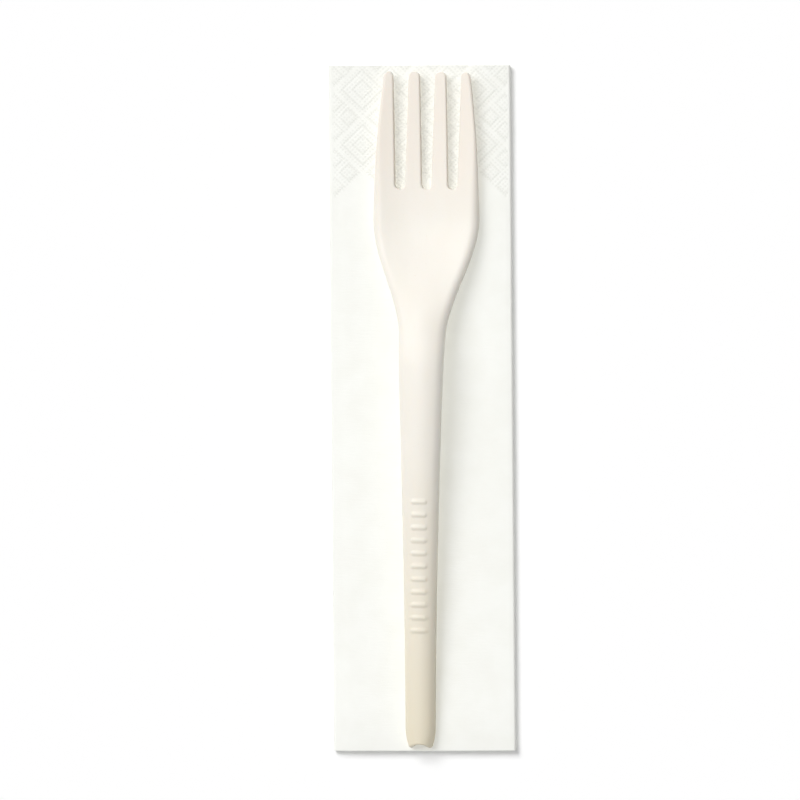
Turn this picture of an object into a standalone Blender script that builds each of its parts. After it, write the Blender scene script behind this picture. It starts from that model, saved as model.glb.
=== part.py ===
"""Cutlery kit: a moulded fork resting on a long folded paper napkin.

Metres, +Z up. The napkin lies on the ground plane with its middle over the origin and its
length along Y, open end and embossed border at +Y. The fork lies on it, concave side up.
"""

import math

import bmesh
import bpy
import numpy as np

MM = 0.001

# Napkin: one tissue sheet, folded once across and then three times lengthwise.
NAPKIN_LENGTH = 165.0 * MM  # folded, cross fold to open end
NAPKIN_WIDTH = 44.5 * MM  # folded, spine to right-hand folds
LENGTHWISE_FOLDS = 3
SHEET_THICKNESS = 0.09 * MM
SHEET_GAP = 0.02 * MM  # air between the two sheets of one leaf
LEAF_GAP = 0.07 * MM  # air between two leaves
SPINE_LEAF_GAP = 0.015 * MM  # the same where the spine is pressed
SPINE_SLOPE_WIDTH = 4.0 * MM  # the leaves come together over this width
LOW_FOLD_SETBACK = 0.25 * MM  # lower right-hand fold, behind the upper ones
FREE_EDGE_SETBACK = 0.6 * MM  # cut edges, behind the folds
OPEN_END_STEP = 0.3 * MM  # lower sheet of a leaf, short of the upper one
SPINE_TURN_STEPS = 8
RIGHT_TURN_STEPS = 6
CROSS_FOLD_STEPS = 4

# Embossed border: a lattice of diamonds across the open end, plain and quartered by turns.
DIAMOND_WIDTH = 13.9 * MM
DIAMOND_HEIGHT = 13.3 * MM
LATTICE_CENTRE_X = 0.1 * MM  # middle column of plain diamonds
LATTICE_TOP_INSET = 5.9 * MM  # first row of plain diamonds, from the open end
PLAIN_ROWS = 2
RAISED_BAND = 1.3 * MM  # left standing round each pressed diamond, and half of it in a quarter
PRESSED_SLOPE = 0.45 * MM
PRESSED_DEPTH = 0.05 * MM
BORDER_MARGIN = 1.5 * MM  # flat leaf kept between the lattice and the folds
SMALLEST_CELL = 6.0e-6  # square metres; a clipped cell below this stays plain

# Fork: lengths along its axis, from the handle's end to the tips.
HANDLE_LENGTH = 98.0 * MM  # end to neck
SHOULDER_LENGTH = 29.0 * MM  # neck to widest point of the head
PALM_LENGTH = 7.3 * MM  # widest point to slot ends
TINE_LENGTH = 28.2 * MM  # slot ends to tips
ARCH_SETBACK = 7.0 * MM  # highest point of the underside, before the neck

# Fork: widths across the axis.
END_WIDTH = 7.2 * MM
NECK_WIDTH = 11.0 * MM
HEAD_WIDTH = 25.6 * MM
TIP_SPAN = 20.8 * MM  # outer edge to outer edge at the tips
HANDLE_FLARE = 1.8  # power of the handle's widening towards the neck
TINE_SWEEP = 1.9  # power of the outer tines' narrowing towards the tips
END_TAPER_LENGTH = 5.0 * MM
END_TAPER = 0.9 * MM  # each side draws in by this much at the end
END_CORNER = 0.5 * MM
END_NOTCH = 0.85 * MM  # the crown ends this far short of the side walls
END_NOTCH_REACH = 6.0 * MM
SLOT_PITCH = 6.43 * MM
SLOT_END_WIDTH = 2.45 * MM
SLOT_MOUTH_WIDTH = 3.8 * MM
TIP_ROUND = 1.2 * MM  # length of a tine's rounded end

# Fork: heights. The sole is the lowest line of the section, the crown its top at the middle.
HANDLE_RISE = 2.9 * MM  # sole halfway along the handle
NECK_RISE = 4.8 * MM  # sole at the neck's arch
SHOULDER_RISE = 2.25 * MM  # sole halfway down to the head, where it touches down
TINE_RISE = 0.3 * MM  # sole halfway to the tips
TIP_RISE = 1.0 * MM
END_HEIGHT = 3.2 * MM  # sole to crown
GRIP_HEIGHT = 3.7 * MM
NECK_HEIGHT = 4.3 * MM
HEAD_HEIGHT = 2.2 * MM
TIP_THICKNESS = 1.4 * MM
HANDLE_CAMBER = 1.15 * MM  # crown above the edges on the handle
BOWL_DEPTH = 1.1 * MM  # edges above the middle in the head
TINE_DISH = 0.7 * MM  # outer edges above the middle at the tips

# Fork: the moulded section, an arched skin with side walls, open underneath.
WALL = 1.3 * MM
RIM_WIDTH = 1.15 * MM
RIM_CHAMFER = 0.2 * MM
WALL_DRAFT = 0.55 * MM  # the inner wall leans in by this much
HANDLE_SHOULDER_WIDTH = 1.6 * MM  # rounding between crown and side wall, across
HANDLE_SHOULDER_DROP = 1.0 * MM
SHOULDER_WIDTH = 2.3 * MM  # the same at the head
SHOULDER_DROP = 1.6 * MM
SHOULDER_FADE = 24.0 * MM  # past the head it thins over this length to the tines' rounding
TINE_SHOULDER_WIDTH = 0.75 * MM
TINE_SHOULDER_DROP = 0.4 * MM
EDGE_ROUND = 0.3 * MM  # moulded radius on slot, tip and end edges
EDGE_SHARE = 0.62  # edge columns take at most this much of half the width
SOLID_PALM = 2.0 * MM  # the hollow ends this far before the slots
HOLLOW_FADE = 8.0 * MM  # and takes this length to reach its depth

# Fork: how finely its skins are divided.
SLOTS = (-1, 0, 1)  # places across the fork, in pitches
SLOT_FAN = 30  # degrees between the columns that end on a slot's round end
EDGE_SHARES = (0.0, 0.0, 0.12, 0.33, 0.62)  # columns across the rounded edge
OUTER_TINE_SHARES = (0.0, 0.5, 0.86, 0.95)
INNER_TINE_SHARES = (0.0, 0.05, 0.14, 0.5, 0.86, 0.95)
END_SHARES = (0.0, 0.03, 0.12, 0.27, 0.5, 1.0)  # rows within the end notch's reach
HANDLE_ROWS = 6
SHOULDER_ROWS = 13
ROOT_LENGTH = 4.0 * MM  # rows bend round the slot ends over this length of palm
ROOT_SHARES = (1.0, 0.7, 0.45, 0.25, 0.12, 0.05, 0.0)
TINE_ROWS = 7
TIP_ANGLES = (30, 55, 75, 85)

# Fork: where it lies on the napkin.
FORK_OFFSET_X = 0.9 * MM
FORK_OFFSET_Y = -0.6 * MM
FORK_TURN = -1.15  # degrees about Z
REST_GAP = 0.3 * MM

NECK = HANDLE_LENGTH
ARCH = NECK - ARCH_SETBACK
HEAD = NECK + SHOULDER_LENGTH
SLOT_END = HEAD + PALM_LENGTH
SLOT_RADIUS = SLOT_END_WIDTH / 2
SLOT_START = SLOT_END + SLOT_RADIUS  # middle of the slots' round ends
TIP = SLOT_END + TINE_LENGTH
TIP_START = TIP - TIP_ROUND
HOLLOW_END = SLOT_END - SOLID_PALM
UNDERSIDE_EDGE = RIM_WIDTH + 2 * WALL_DRAFT

LEAF_THICKNESS = 2 * SHEET_THICKNESS + SHEET_GAP
LEAF_PITCH = LEAF_THICKNESS + LEAF_GAP
SPINE_PITCH = LEAF_THICKNESS + SPINE_LEAF_GAP
LEAVES = 2**LENGTHWISE_FOLDS
NAPKIN_TOP = LEAF_THICKNESS + (LEAVES - 1) * LEAF_PITCH


def clear_scene():
    for item in list(bpy.data.objects):
        bpy.data.objects.remove(item, do_unlink=True)


def make_material(name, colour, roughness):
    """A plain dielectric finish."""
    material = bpy.data.materials.new(name)
    material.use_nodes = True
    shader = material.node_tree.nodes["Principled BSDF"]
    shader.inputs["Base Color"].default_value = (*colour, 1.0)
    shader.inputs["Roughness"].default_value = roughness
    shader.inputs["Metallic"].default_value = 0.0
    return material


def add_object(name, bm, material):
    """One closed mesh with its faces outwards, shaded smooth apart from its real edges."""
    bmesh.ops.recalc_face_normals(bm, faces=bm.faces)
    mesh = bpy.data.meshes.new(name)
    bm.to_mesh(mesh)
    bm.free()
    mesh.materials.append(material)
    mesh.shade_smooth()
    mesh.set_sharp_from_angle(angle=math.radians(40))
    item = bpy.data.objects.new(name, mesh)
    bpy.context.scene.collection.objects.link(item)
    return item


def ease(value):
    """0 to 1 with level ends."""
    value = np.clip(value, 0.0, 1.0)
    return value * value * (3.0 - 2.0 * value)


def quarter_drop(inward, width, drop):
    """How far a rounded edge has fallen at a distance inward from its outline."""
    reach = np.clip(1.0 - inward / width, 0.0, 1.0)
    return drop * (1.0 - np.sqrt(1.0 - reach * reach))


def curve_through(stations, place):
    """A smooth curve through (place, value) stations that never overshoots them."""
    x, y = np.array(stations, float).T
    slope = np.diff(y) / np.diff(x)
    product = slope[:-1] * slope[1:]
    total = slope[:-1] + slope[1:]
    inner = np.where(product > 0, 2 * product / np.where(total == 0, 1, total), 0.0)
    tangent = np.concatenate([slope[:1], inner, slope[-1:]])
    i = np.clip(np.searchsorted(x, place) - 1, 0, len(x) - 2)
    span = x[i + 1] - x[i]
    t = np.clip((place - x[i]) / span, 0.0, 1.0)
    t2, t3 = t * t, t * t * t
    return (
        (2 * t3 - 3 * t2 + 1) * y[i]
        + (t3 - 2 * t2 + t) * span * tangent[i]
        + (3 * t2 - 2 * t3) * y[i + 1]
        + (t3 - t2) * span * tangent[i + 1]
    )


def folded_levels(folds):
    """The level in the stack, from the bottom, of each panel of a strip halved that many times."""
    columns = [[panel] for panel in range(2**folds)]
    while len(columns) > 1:
        half = len(columns) // 2
        columns = [columns[i] + columns[-1 - i][::-1] for i in range(half)]
    stack = columns[0]
    return [stack.index(panel) for panel in range(len(stack))]


def leaf_height(level, x):
    """Middle height of a leaf. The leaves lie closer together where the spine is pressed."""
    slope_start = -NAPKIN_WIDTH / 2 + SPINE_SLOPE_WIDTH
    pressed = ease((slope_start - x) / SPINE_SLOPE_WIDTH)
    return LEAF_THICKNESS / 2 + level * (LEAF_PITCH + (SPINE_PITCH - LEAF_PITCH) * pressed)


def turn_centre_x(level_a, level_b):
    """Where the middle of a fold's round turn lies: nested turns share one centre."""
    if level_a + level_b == LEAVES - 1:
        return -NAPKIN_WIDTH / 2 + LEAF_THICKNESS / 2 + (LEAVES - 1) / 2 * SPINE_PITCH
    upper = max(level_a, level_b) >= LEAVES // 2
    reach = (LEAVES // 2 - 1) / 2 * LEAF_PITCH if upper else LEAF_PITCH / 2
    setback = 0.0 if upper else LOW_FOLD_SETBACK
    return NAPKIN_WIDTH / 2 - setback - LEAF_THICKNESS / 2 - reach


def fold_path():
    """Points (x, z) and normals of the strip's middle line, from one cut edge to the other."""
    levels = folded_levels(LENGTHWISE_FOLDS)
    free_edge = NAPKIN_WIDTH / 2 - FREE_EDGE_SETBACK
    slope_start = -NAPKIN_WIDTH / 2 + SPINE_SLOPE_WIDTH
    points, normals = [], []
    for k, level in enumerate(levels):
        leftward = k % 2 == 0
        right_x = free_edge if k in (0, LEAVES - 1) else None
        if right_x is None:
            partner = levels[k - 1] if leftward else levels[k + 1]
            right_x = turn_centre_x(level, partner)
        spine_x = turn_centre_x(level, LEAVES - 1 - level)
        stops = [right_x, *np.linspace(slope_start, spine_x, 4)]
        for x in stops if leftward else stops[::-1]:
            points.append((x, float(leaf_height(level, x))))
            normals.append((0.0, -1.0 if leftward else 1.0))
        if k == LEAVES - 1:
            break
        above = levels[k + 1]
        pitch = SPINE_PITCH if leftward else LEAF_PITCH
        steps = SPINE_TURN_STEPS if leftward else RIGHT_TURN_STEPS
        radius = abs(above - level) / 2 * pitch
        centre = (turn_centre_x(level, above), LEAF_THICKNESS / 2 + (level + above) / 2 * pitch)
        rising = 1.0 if above > level else -1.0
        outward = rising if leftward else -rising
        side = -1.0 if leftward else 1.0
        for step in range(1, steps):
            angle = -rising * math.pi / 2 + rising * math.pi * step / steps
            radial = (side * math.cos(angle), math.sin(angle))
            points.append((centre[0] + radius * radial[0], centre[1] + radius * radial[1]))
            normals.append((outward * radial[0], outward * radial[1]))
    return np.array(points), np.array(normals)


def leaf_section():
    """A leaf cut along its length: outer and inner lines of (y, offset), round the cross fold."""
    outer, inner = LEAF_THICKNESS / 2, SHEET_GAP / 2
    open_end = NAPKIN_LENGTH / 2
    fold_y = -open_end + outer
    rounds = [math.pi * (0.5 + i / CROSS_FOLD_STEPS) for i in range(CROSS_FOLD_STEPS + 1)]
    lines = []
    for radius in (outer, inner):
        line = [(open_end, radius), (border_start(), radius)]
        line += [(fold_y + radius * math.cos(a), radius * math.sin(a)) for a in rounds]
        line.append((open_end - OPEN_END_STEP, -radius))
        lines.append(line)
    return lines


def border_start():
    """The lower tips of the lattice, with a margin."""
    rows = LATTICE_TOP_INSET + (PLAIN_ROWS - 0.5) * DIAMOND_HEIGHT + DIAMOND_HEIGHT / 2
    return NAPKIN_LENGTH / 2 - rows - BORDER_MARGIN


def lattice_lines(face_set, bm, half_width, half_height, centre):
    """Cuts a set of faces along both diagonals of a diamond lattice."""
    geometry = list(face_set)
    geometry += list({e for f in face_set for e in f.edges} | {v for f in face_set for v in f.verts})
    reach = int((NAPKIN_WIDTH + NAPKIN_LENGTH / 2) / min(half_width, half_height))
    for direction in (-1.0, 1.0):
        normal = (direction / half_width, 1.0 / half_height, 0.0)
        for index in range(-reach, reach + 1):
            step = (2 * index + 1) * half_height
            point = (centre[0], centre[1] + step, NAPKIN_TOP)
            cut = bmesh.ops.bisect_plane(bm, geom=geometry, plane_co=point, plane_no=normal)
            geometry = cut["geom"]
    return [g for g in geometry if isinstance(g, bmesh.types.BMFace)]


def emboss_border(bm):
    """Presses the border's diamonds into the top leaf."""
    half_w, half_h = DIAMOND_WIDTH / 2, DIAMOND_HEIGHT / 2
    centre = (LATTICE_CENTRE_X, NAPKIN_LENGTH / 2 - LATTICE_TOP_INSET)
    bm.faces.ensure_lookup_table()
    patch = max(
        (f for f in bm.faces if min(v.co.y for v in f.verts) > border_start() - BORDER_MARGIN),
        key=lambda f: (round(f.calc_center_median().z, 6), f.calc_area()),
    )
    cells = lattice_lines([patch], bm, half_w, half_h, centre)
    plain, quartered = [], []
    for cell in cells:
        place = cell.calc_center_median()
        column = round((place.x - centre[0]) / half_w)
        row = round((place.y - centre[1]) / half_h)
        below = row < -2 * PLAIN_ROWS + 1
        if below or cell.calc_area() < SMALLEST_CELL or (column + row) % 2:
            continue
        (plain if row % 2 == 0 else quartered).append(cell)
    quarters = []
    for cell in quartered:
        place = cell.calc_center_median()
        column = round((place.x - centre[0]) / half_w)
        row = round((place.y - centre[1]) / half_h)
        middle = (centre[0] + column * half_w, centre[1] + row * half_h)
        geometry = [cell, *cell.edges, *cell.verts]
        for direction in (-1.0, 1.0):
            normal = (direction / half_w, 1.0 / half_h, 0.0)
            point = (*middle, NAPKIN_TOP)
            cut = bmesh.ops.bisect_plane(bm, geom=geometry, plane_co=point, plane_no=normal)
            geometry = cut["geom"]
        quarters += [g for g in geometry if isinstance(g, bmesh.types.BMFace)]
    quarters = [q for q in quarters if q.calc_area() > SMALLEST_CELL / 2]
    for pressed, band in ((plain, RAISED_BAND), (quarters, RAISED_BAND / 2)):
        for width, depth in ((band, 0.0), (PRESSED_SLOPE, -PRESSED_DEPTH)):
            bmesh.ops.inset_individual(bm, faces=pressed, thickness=width, depth=depth)
    # A cell beside a quartered one has extra points on its edges, so it needs care in cutting up.
    many_sided = [face for face in bm.faces if len(face.verts) > 4]
    bmesh.ops.triangulate(bm, faces=many_sided, ngon_method="BEAUTY")


def make_napkin(material):
    """The leaf's section carried along the fold path, closed at both cut edges."""
    points, normals = fold_path()
    outer, inner = leaf_section()
    ring = np.array(outer + inner[::-1])
    x = points[:, :1] + normals[:, :1] * ring[:, 1]
    z = points[:, 1:] + normals[:, 1:] * ring[:, 1]
    y = np.broadcast_to(ring[:, 0], x.shape)
    bm = bmesh.new()
    rows = [[bm.verts.new(p) for p in zip(*row)] for row in zip(x, y, z)]
    count = len(ring)
    for a, b in zip(rows, rows[1:]):
        for i in range(count):
            j = (i + 1) % count
            bm.faces.new((a[i], a[j], b[j], b[i]))
    for row in (rows[0], rows[-1]):
        for i in range(len(outer) - 1):
            bm.faces.new((row[i], row[i + 1], row[count - 2 - i], row[count - 1 - i]))
    emboss_border(bm)
    return add_object("napkin", bm, material)


def half_width(s):
    """Half the fork's width: a flaring handle, a rounded shoulder and tapering outer tines."""
    handle = np.clip(s / NECK, 0.0, 1.0) ** HANDLE_FLARE
    taper = np.clip((s - HEAD) / (TIP - HEAD), 0.0, 1.0) ** TINE_SWEEP
    width = END_WIDTH + (NECK_WIDTH - END_WIDTH) * handle
    width = width + (HEAD_WIDTH - NECK_WIDTH) * ease((s - NECK) / SHOULDER_LENGTH)
    width = width - (HEAD_WIDTH - TIP_SPAN) * taper
    drawn_in = END_TAPER * np.clip(1.0 - s / END_TAPER_LENGTH, 0.0, 1.0) ** 2
    return width / 2 - drawn_in - quarter_drop(s, END_CORNER, END_CORNER)


def edge_width(s, full):
    """A width kept along the fork's edges: slimmer on the tines and on a narrow handle."""
    tine = ease((s - HEAD) / SHOULDER_FADE)
    width = full * (1 - tine + tine * TINE_SHOULDER_WIDTH / SHOULDER_WIDTH)
    return np.minimum(width, EDGE_SHARE * half_width(s))


def shoulder(s):
    """Width and drop of the rounding between crown and side wall."""
    head = ease((s - NECK) / SHOULDER_LENGTH)
    tine = ease((s - HEAD) / SHOULDER_FADE)
    width = HANDLE_SHOULDER_WIDTH + (SHOULDER_WIDTH - HANDLE_SHOULDER_WIDTH) * head
    drop = HANDLE_SHOULDER_DROP + (SHOULDER_DROP - HANDLE_SHOULDER_DROP) * head
    width = width + (TINE_SHOULDER_WIDTH - SHOULDER_WIDTH) * tine
    return width, drop + (TINE_SHOULDER_DROP - SHOULDER_DROP) * tine


def sole(s):
    """Height of the fork's lowest line."""
    stations = (
        (0.0, 0.0),
        (ARCH / 2, HANDLE_RISE),
        (ARCH, NECK_RISE),
        ((ARCH + HEAD) / 2, SHOULDER_RISE),
        (HEAD, 0.0),
        ((HEAD + TIP) / 2, TINE_RISE),
        (TIP, TIP_RISE),
    )
    return curve_through(stations, s)


def section_height(s):
    """Sole to crown."""
    stations = (
        (0.0, END_HEIGHT),
        (ARCH / 2, GRIP_HEIGHT),
        (ARCH, NECK_HEIGHT),
        (HEAD, HEAD_HEIGHT),
        (TIP, TIP_THICKNESS),
    )
    return curve_through(stations, s)


def dish(s):
    """Edges above the middle: negative on the cambered handle, positive in the bowl."""
    stations = (
        (0.0, -HANDLE_CAMBER),
        (NECK, -HANDLE_CAMBER),
        (HEAD, BOWL_DEPTH),
        (SLOT_END, BOWL_DEPTH),
        (TIP, TINE_DISH),
    )
    return curve_through(stations, s)


def slot_half_width(s):
    """Half a slot's width, from its round end to its mouth."""
    share = np.clip((s - SLOT_START) / (TIP - SLOT_START), 0.0, 1.0)
    return (SLOT_END_WIDTH + (SLOT_MOUTH_WIDTH - SLOT_END_WIDTH) * share) / 2


def fork_marks(s, edge, spread):
    """Places across the fork that its columns are spaced between, left edge to right edge.

    The columns of a slot are spread apart round its end, to follow it at a distance.
    """
    width = half_width(s)
    inside = width - edge_width(s, edge)
    inside_at_slots = half_width(SLOT_START) - edge_width(SLOT_START, edge)
    shrink = np.where(s < SLOT_START, inside / inside_at_slots, 1.0)
    half = slot_half_width(s) * shrink + spread
    marks = [-width, -inside]
    for slot in SLOTS:
        marks += [slot * SLOT_PITCH * shrink - half, slot * SLOT_PITCH * shrink + half]
    return np.array([*marks, inside, width])


def mirrored(shares):
    """Shares of a span read from its other end, without the one that starts the next span."""
    return [1 - share for share in shares[::-1] if share > 0]


def fork_columns(edge_shares):
    """Each column's span between two marks and its share of that span, left edge to right."""
    fan = [(1 + math.sin(math.radians(a))) / 2 for a in range(-90, 90, SLOT_FAN)]
    span_shares = [edge_shares, OUTER_TINE_SHARES]
    for slot in SLOTS:
        tine = INNER_TINE_SHARES if slot != SLOTS[-1] else (0.0, *mirrored(OUTER_TINE_SHARES))
        span_shares += [fan, tine]
    span_shares.append([0.0] + [1 - share for share in edge_shares[::-1]])
    columns = [(span, share) for span, shares in enumerate(span_shares) for share in shares]
    return np.array([span for span, _ in columns]), np.array([share for _, share in columns])


def fork_rows():
    """Places along the axis: distances before the slots' ends, then straight rows beyond."""
    rows = [share * END_NOTCH_REACH for share in END_SHARES]
    rows += list(np.linspace(END_NOTCH_REACH, NECK - 2 * ARCH_SETBACK, HANDLE_ROWS + 1)[1:])
    rows += list(np.linspace(rows[-1], SLOT_END - ROOT_LENGTH, SHOULDER_ROWS + 1)[1:-1])
    before = [SLOT_END - s for s in rows] + [ROOT_LENGTH * share for share in ROOT_SHARES]
    beyond = list(np.linspace(SLOT_START, TIP_START, TINE_ROWS + 1)[1:])
    beyond += [TIP_START + TIP_ROUND * math.sin(math.radians(a)) for a in TIP_ANGLES]
    return np.array(before), np.array(beyond)


def in_slots(spans):
    """Which columns or cells lie between a slot's two edges."""
    return (spans >= 2) & (spans <= 2 * len(SLOTS)) & (spans % 2 == 0)


def fork_skin(edge_shares, underside):
    """One skin of the fork as a grid of points, rows along it and columns across it."""
    spans, shares = fork_columns(edge_shares)
    before, beyond = fork_rows()
    bend = np.where(in_slots(spans), 1 - np.sqrt(1 - (2 * shares - 1) ** 2), 1.0)
    bend = bend * (1 - ease(before / ROOT_LENGTH)[:, None])
    lower = SLOT_END - before[:, None] + SLOT_RADIUS * bend
    s = np.vstack([lower, np.repeat(beyond[:, None], len(spans), axis=1)])

    spread = np.concatenate([before * (1 - ease(before / ROOT_LENGTH)), 0 * beyond])[:, None]
    marks = fork_marks(s, UNDERSIDE_EDGE if underside else SHOULDER_WIDTH, spread)
    across = np.arange(len(spans))[None, :]
    along = np.arange(len(s))[:, None]
    x = marks[spans, along, across]
    x = x + shares * (marks[spans + 1, along, across] - x)
    width = marks[-1]
    inward = width - np.abs(x)
    slot_x = np.array(SLOTS)[:, None, None] * SLOT_PITCH
    from_side = np.abs(x - slot_x) - slot_half_width(s)
    from_end = np.hypot(s - SLOT_START, x - slot_x) - SLOT_RADIUS
    to_slot = np.where(s < SLOT_START, from_end, from_side).min(axis=0)
    moulded = np.maximum(np.minimum(to_slot, TIP - s), 0.0)
    moulded = quarter_drop(moulded, EDGE_ROUND, EDGE_ROUND)

    lift = ease((s - HEAD) / (SLOT_START - HEAD))
    bottom = sole(s) + dish(s) * (x / width) ** 2 * lift
    crown = sole(s) + section_height(s) + dish(s) * (x / width) ** 2
    crown = crown - quarter_drop(inward, *shoulder(s))
    if underside:
        slimmer = edge_width(s, UNDERSIDE_EDGE) / UNDERSIDE_EDGE
        hollow = np.clip((inward / slimmer - RIM_WIDTH) / WALL_DRAFT, 0.0, 1.0)
        hollow = hollow * (1 - ease((s - HOLLOW_END) / HOLLOW_FADE + 1))
        z = bottom + np.maximum(crown - WALL - bottom, 0.0) * hollow + moulded
    else:
        z = crown - np.maximum(moulded, quarter_drop(s, EDGE_ROUND, EDGE_ROUND))
        for rim in (0, -1):
            z[:, rim] = (bottom + moulded)[:, rim] + RIM_CHAMFER

    tine = np.clip((spans + (shares > 0) - 1) // 2, 0, len(SLOTS))
    left = marks[np.where(tine == 0, 0, 2 * tine + 1), along, across]
    right = marks[np.where(tine == len(SLOTS), -1, 2 * tine + 2), along, across]
    middle = (left + right) / 2
    past = np.clip((s - TIP_START) / TIP_ROUND, 0.0, 1.0)
    x = np.where(past > 0, middle + (x - middle) * np.sqrt(1 - past * past), x)
    notch = END_NOTCH * (1 - (x / width) ** 2) * np.clip(1 - s / END_NOTCH_REACH, 0.0, 1.0)
    return np.stack([x, s + notch - TIP / 2, z], axis=-1)


def make_fork(material):
    """A top skin and an underside on the same rows and columns, joined round every edge."""
    rim = (RIM_CHAMFER, RIM_WIDTH / 2, RIM_WIDTH)
    draft = (RIM_WIDTH + WALL_DRAFT / 2, RIM_WIDTH + WALL_DRAFT)
    skins = (
        fork_skin(EDGE_SHARES, underside=False),
        fork_skin([place / UNDERSIDE_EDGE for place in rim + draft], underside=True),
    )
    rows, columns = skins[0].shape[:2]
    past_roots = np.arange(rows - 1) >= len(fork_rows()[0]) - 1
    solid = ~(past_roots[:, None] & in_slots(fork_columns(EDGE_SHARES)[0][:-1])[None, :])

    bm = bmesh.new()
    verts = {}

    def vert(skin, i, j):
        if (skin, i, j) not in verts:
            verts[skin, i, j] = bm.verts.new(skins[skin][i, j])
        return verts[skin, i, j]

    def is_solid(i, j):
        return 0 <= i < rows - 1 and 0 <= j < columns - 1 and solid[i, j]

    for i, j in zip(*np.nonzero(solid)):
        corners = ((i, j), (i, j + 1), (i + 1, j + 1), (i + 1, j))
        neighbours = ((i - 1, j), (i, j + 1), (i + 1, j), (i, j - 1))
        bm.faces.new([vert(0, *c) for c in corners])
        bm.faces.new([vert(1, *c) for c in reversed(corners)])
        for k, neighbour in enumerate(neighbours):
            if not is_solid(*neighbour):
                a, b = corners[k], corners[(k + 1) % 4]
                bm.faces.new((vert(0, *b), vert(0, *a), vert(1, *a), vert(1, *b)))
    return add_object("fork", bm, material)


def lay_on_napkin(fork):
    """The fork's lowest points come to rest just above the top leaf."""
    lowest = min(v.co.z for v in fork.data.vertices)
    fork.location = (FORK_OFFSET_X, FORK_OFFSET_Y, NAPKIN_TOP + REST_GAP - lowest)
    fork.rotation_euler = (0.0, 0.0, math.radians(FORK_TURN))


def main():
    clear_scene()
    make_napkin(make_material("white_tissue", (0.93, 0.93, 0.90), 0.9))
    lay_on_napkin(make_fork(make_material("cream_plastic", (0.88, 0.80, 0.68), 0.45)))


main()
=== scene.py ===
import math

import bmesh
import bpy
import numpy as np
from mathutils import Matrix, Vector


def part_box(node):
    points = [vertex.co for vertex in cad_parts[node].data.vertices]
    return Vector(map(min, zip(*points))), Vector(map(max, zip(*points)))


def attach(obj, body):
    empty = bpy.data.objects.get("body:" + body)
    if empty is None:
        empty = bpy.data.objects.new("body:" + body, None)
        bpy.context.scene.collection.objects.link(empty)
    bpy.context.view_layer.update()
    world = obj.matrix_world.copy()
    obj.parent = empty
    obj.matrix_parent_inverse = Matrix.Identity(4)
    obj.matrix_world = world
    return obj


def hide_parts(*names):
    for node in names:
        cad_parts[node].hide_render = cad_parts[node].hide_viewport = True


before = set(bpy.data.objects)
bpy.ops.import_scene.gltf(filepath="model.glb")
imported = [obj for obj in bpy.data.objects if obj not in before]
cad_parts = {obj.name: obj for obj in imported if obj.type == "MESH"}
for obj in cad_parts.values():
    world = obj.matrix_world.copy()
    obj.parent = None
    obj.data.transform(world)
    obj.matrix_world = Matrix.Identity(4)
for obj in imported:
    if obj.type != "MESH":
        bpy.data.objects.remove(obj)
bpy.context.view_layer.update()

# Napkin: one sheet of white tissue, folded once across and then three times lengthwise. The
# stack is pressed flat, hardest along its left-hand spine; its cut edges show at the open end
# and, set back a little, under the folds on the right.
MM = 0.001
LENGTHWISE_FOLDS = 3
SHEET_THICKNESS = 0.09 * MM
SHEET_GAP = 0.02 * MM  # air between the two sheets of one leaf
LEAF_GAP = 0.07 * MM  # air between two leaves
SPINE_LEAF_GAP = 0.015 * MM  # the same where the spine is pressed
SPINE_SLOPE_WIDTH = 4.0 * MM
SPINE_PAINTED_SHADE = 0.3  # painted shade on the spine's slope, with smoother paper, as a share of a groove's
LOW_FOLD_SETBACK = 0.25 * MM
FREE_EDGE_SETBACK = 0.6 * MM
OPEN_END_STEP = 0.3 * MM  # lower sheet of a leaf, short of the upper one
LEAF_SKEW = 0.3 * MM  # most that a leaf's ends lie back from the longest
SKEW_TURN = 1.9  # radians of the skew's wave from one leaf to the next
SKEW_LONGEST = 1.5  # where that wave starts, in leaves along the fold path
OPEN_END_SLANT = 0.35 * MM  # the open end falls away by this much from left to right
FOLD_END_SLANT = 0.15 * MM
SOFT_DIP = 0.025  # share of its height that the stack gives up in its softest places
DIP_LENGTH = 61.0 * MM
DIP_LEAN = 0.4  # how far along the soft places move for each step across
LEAVES = 2**LENGTHWISE_FOLDS
LEAF_THICKNESS = 2 * SHEET_THICKNESS + SHEET_GAP
LEAF_PITCH = LEAF_THICKNESS + LEAF_GAP
SPINE_PITCH = LEAF_THICKNESS + SPINE_LEAF_GAP
napkin_low, napkin_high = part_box("napkin")
slope_start = napkin_low.x + SPINE_SLOPE_WIDTH

# Border: diamonds pressed across the open end, rows of two nested rings by turns with rows
# quartered into four small ones. The steel roll leaves narrow grooves, a fine knurl of dots and
# a soft swell between them.
DIAMOND_WIDTH = 13.9 * MM
DIAMOND_HEIGHT = 13.3 * MM
LATTICE_CENTRE_X = 0.1 * MM
LATTICE_TOP_INSET = 5.9 * MM
LAST_ROW = -3  # counted down from the first plain row, in half diamonds
LAST_ROW_REACH = 1.2  # from its middle to where the plain paper starts, in half diamonds
PLAIN_GROOVES = (0.72, 0.34)  # shares of the way from a cell's middle to its side
QUARTER_GROOVE = 0.62
GROOVE_WIDTH = 0.55 * MM
GROOVE_DEPTH = 0.06 * MM
PIN_PITCH = 0.62 * MM  # the roll's grooves are rows of blunt pins
PIN_SHARE = 0.6  # of the depth that comes and goes from pin to pin
DOT_PLACE = 0.5  # the dot in a cell's middle is as deep as a groove is there along it
KNURL_PITCH = 0.84 * MM
KNURL_SHARE = 0.7  # of a groove's depth
SWELL = 0.02 * MM
EMBOSS_FADE = 0.3 * MM  # the pattern dies out over this width beside a fold
BOTTOM_SHARE = 0.6  # of the pattern's height that is left on the bottom leaf
border_end = napkin_high.y - LATTICE_TOP_INSET + (LAST_ROW - LAST_ROW_REACH) * DIAMOND_HEIGHT / 2

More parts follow.
